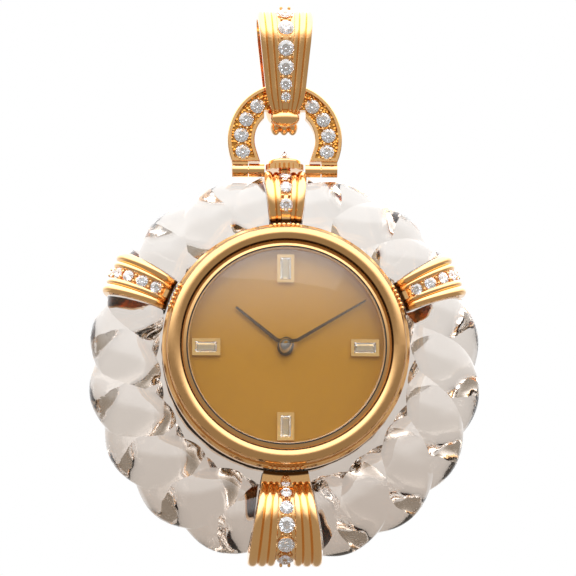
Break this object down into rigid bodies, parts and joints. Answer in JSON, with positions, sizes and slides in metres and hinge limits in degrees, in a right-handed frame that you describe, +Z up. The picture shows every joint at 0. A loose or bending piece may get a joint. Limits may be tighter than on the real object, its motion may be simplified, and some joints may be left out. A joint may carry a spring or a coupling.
{
  "type": "pendant watch",
  "caption": "Round gold pendant watch in a carved rock crystal ring of twisted lobes, with ribbed diamond-set bands, hanging from a hinged horseshoe link and a tapering bail.",
  "frame": {"origin": "middle of the bail's chain opening, where a chain carries the watch", "axes": "+Z up through twelve o'clock as the watch hangs, the dial faces -Y, and +X runs through the chain opening towards three o'clock"},
  "size_m": [0.0459, 0.0118, 0.0663],
  "materials": {
    "bail_gold": "polished yellow gold",
    "link_gold": "polished yellow gold",
    "pin_gold": "polished yellow gold",
    "band_gold": "polished yellow gold",
    "case_gold": "polished yellow gold",
    "bezel_gold": "polished yellow gold",
    "case_back_gold": "polished yellow gold",
    "marker_gold": "polished yellow gold",
    "crown_gold": "polished yellow gold",
    "tube_gold": "polished yellow gold",
    "bail_diamond": "faceted clear stone",
    "link_diamond": "faceted clear stone",
    "band_diamond": "faceted clear stone",
    "marker_diamond": "step-cut clear stone",
    "crown_diamond": "pointed clear stone",
    "rock_crystal": "carved and polished rock crystal",
    "watch_glass": "clear polished",
    "gasket": "black, matt",
    "dial_gold": "satin gold",
    "hand_steel": "dark polished steel",
    "holder_brass": "turned brass",
    "plate_nickel": "nickel-plated, grained",
    "bridge_nickel": "nickel-plated, grained",
    "blued_steel": "blued steel",
    "ruby": "polished ruby",
    "train_brass": "gilt brass",
    "balance_brass": "polished brass alloy",
    "spring_steel": "tempered steel",
    "winding_steel": "polished steel",
    "escapement_steel": "polished steel"
  },
  "bodies": {
    "bail": {"bail_shell": "bail_gold", "bail_diamonds": "bail_diamond"},
    "link": {"link_frame": "link_gold", "link_diamonds": "link_diamond", "hinge_pins": "pin_gold"},
    "head": {"crystal_ring": "rock_crystal", "upper_band": "band_gold", "right_band": "band_gold", "left_band": "band_gold", "lower_band": "band_gold", "upper_band_diamonds": "band_diamond", "right_band_diamonds": "band_diamond", "left_band_diamonds": "band_diamond", "lower_band_diamonds": "band_diamond", "case_middle": "case_gold", "bezel": "bezel_gold", "watch_glass": "watch_glass", "glass_gasket": "gasket", "case_back": "case_back_gold", "back_gasket": "gasket", "dial": "dial_gold", "marker_settings": "marker_gold", "marker_diamonds": "marker_diamond", "movement_ring": "holder_brass", "stem_tube": "tube_gold", "main_plate": "plate_nickel", "barrel_bridge": "bridge_nickel", "train_bridge": "bridge_nickel", "balance_cock": "bridge_nickel", "pallet_cock": "bridge_nickel", "bridge_screws": "blued_steel", "jewels": "ruby", "hairspring": "spring_steel", "click": "winding_steel"},
    "stem": {"winding_stem": "winding_steel"},
    "crown": {"crown_button": "crown_gold", "crown_diamond": "crown_diamond"},
    "winding pinion": {"winding_pinion": "winding_steel"},
    "crown wheel": {"crown_wheel": "winding_steel"},
    "ratchet wheel": {"ratchet_wheel": "winding_steel"},
    "cannon pinion": {"cannon_pinion": "winding_steel", "minute_hand": "hand_steel"},
    "minute wheel": {"minute_wheel": "train_brass"},
    "hour wheel": {"hour_wheel": "train_brass", "hour_hand": "hand_steel"},
    "spring barrel": {"barrel": "train_brass", "mainspring": "spring_steel"},
    "centre wheel": {"centre_wheel": "train_brass"},
    "third wheel": {"third_wheel": "train_brass"},
    "fourth wheel": {"fourth_wheel": "train_brass"},
    "escape wheel": {"escape_wheel": "escapement_steel"},
    "pallet fork": {"pallet_fork": "escapement_steel"},
    "balance": {"balance_wheel": "balance_brass"}
  },
  "joints": [
    {"name": "link_swing", "type": "hinge", "parent": "bail", "child": "link", "pos_m": [0, 0, -0.00667], "axis": [1, 0, 0], "range_deg": [-80, 80]},
    {"name": "head_swing", "type": "hinge", "parent": "link", "child": "head", "pos_m": [0, 0, -0.0154], "axis": [1, 0, 0], "range_deg": [-60, 60]},
    {"name": "crown_pull", "type": "slide", "parent": "head", "child": "stem", "axis": [0, 0, 1], "range_m": [0, 0.0008]},
    {"name": "crown_turn", "type": "hinge", "parent": "stem", "child": "crown", "pos_m": [0, 0, -0.0154], "axis": [0, 0, 1], "continuous": true},
    {"name": "winding_pinion_turn", "type": "hinge", "parent": "head", "child": "winding pinion", "pos_m": [0, 0, -0.03016], "axis": [0, 0, 1], "continuous": true},
    {"name": "crown_wheel_turn", "type": "hinge", "parent": "head", "child": "crown wheel", "pos_m": [-0.00082, 0, -0.03199], "axis": [0, 1, 0], "continuous": true},
    {"name": "ratchet_turn", "type": "hinge", "parent": "head", "child": "ratchet wheel", "pos_m": [-0.00405, 0, -0.03451], "axis": [0, 1, 0], "continuous": true},
    {"name": "minute_hand_turn", "type": "hinge", "parent": "head", "child": "cannon pinion", "pos_m": [0, 0, -0.03685], "axis": [0, 1, 0], "continuous": true},
    {"name": "minute_wheel_turn", "type": "hinge", "parent": "head", "child": "minute wheel", "pos_m": [0.00132, 0, -0.03456], "axis": [0, 1, 0], "continuous": true},
    {"name": "hour_hand_turn", "type": "hinge", "parent": "head", "child": "hour wheel", "pos_m": [0, 0, -0.03685], "axis": [0, 1, 0], "continuous": true},
    {"name": "fourth_wheel_turn", "type": "hinge", "parent": "head", "child": "fourth wheel", "pos_m": [0.00477, 0, -0.03908], "axis": [0, 1, 0], "continuous": true},
    {"name": "barrel_turn", "type": "hinge", "parent": "head", "child": "spring barrel", "pos_m": [-0.00405, 0, -0.03451], "axis": [0, 1, 0], "continuous": true},
    {"name": "centre_wheel_turn", "type": "hinge", "parent": "head", "child": "centre wheel", "pos_m": [0, 0, -0.03685], "axis": [0, 1, 0], "continuous": true},
    {"name": "third_wheel_turn", "type": "hinge", "parent": "head", "child": "third wheel", "pos_m": [0.00189, 0, -0.04012], "axis": [0, 1, 0], "continuous": true},
    {"name": "escape_wheel_turn", "type": "hinge", "parent": "head", "child": "escape wheel", "pos_m": [0.00545, 0, -0.03653], "axis": [0, 1, 0], "continuous": true},
    {"name": "pallet_fork_swing", "type": "hinge", "parent": "head", "child": "pallet fork", "pos_m": [0.00479, 0, -0.03427], "axis": [0, 1, 0], "range_deg": [-5, 5]},
    {"name": "balance_swing", "type": "hinge", "parent": "head", "child": "balance", "pos_m": [0.00411, 0, -0.03195], "axis": [0, 1, 0], "range_deg": [-135, 135]}
  ],
  "couplings": [
    {"joint": "winding_pinion_turn", "follows": "crown_turn", "ratio": 1},
    {"joint": "crown_wheel_turn", "follows": "crown_turn", "ratio": -0.3},
    {"joint": "ratchet_turn", "follows": "crown_turn", "ratio": 0.28571},
    {"joint": "minute_wheel_turn", "follows": "minute_hand_turn", "ratio": -0.33333},
    {"joint": "hour_hand_turn", "follows": "minute_hand_turn", "ratio": 0.083333},
    {"joint": "third_wheel_turn", "follows": "fourth_wheel_turn", "ratio": -0.13333},
    {"joint": "centre_wheel_turn", "follows": "fourth_wheel_turn", "ratio": 0.016667},
    {"joint": "barrel_turn", "follows": "fourth_wheel_turn", "ratio": -0.0020833},
    {"joint": "escape_wheel_turn", "follows": "fourth_wheel_turn", "ratio": -10}
  ]
}
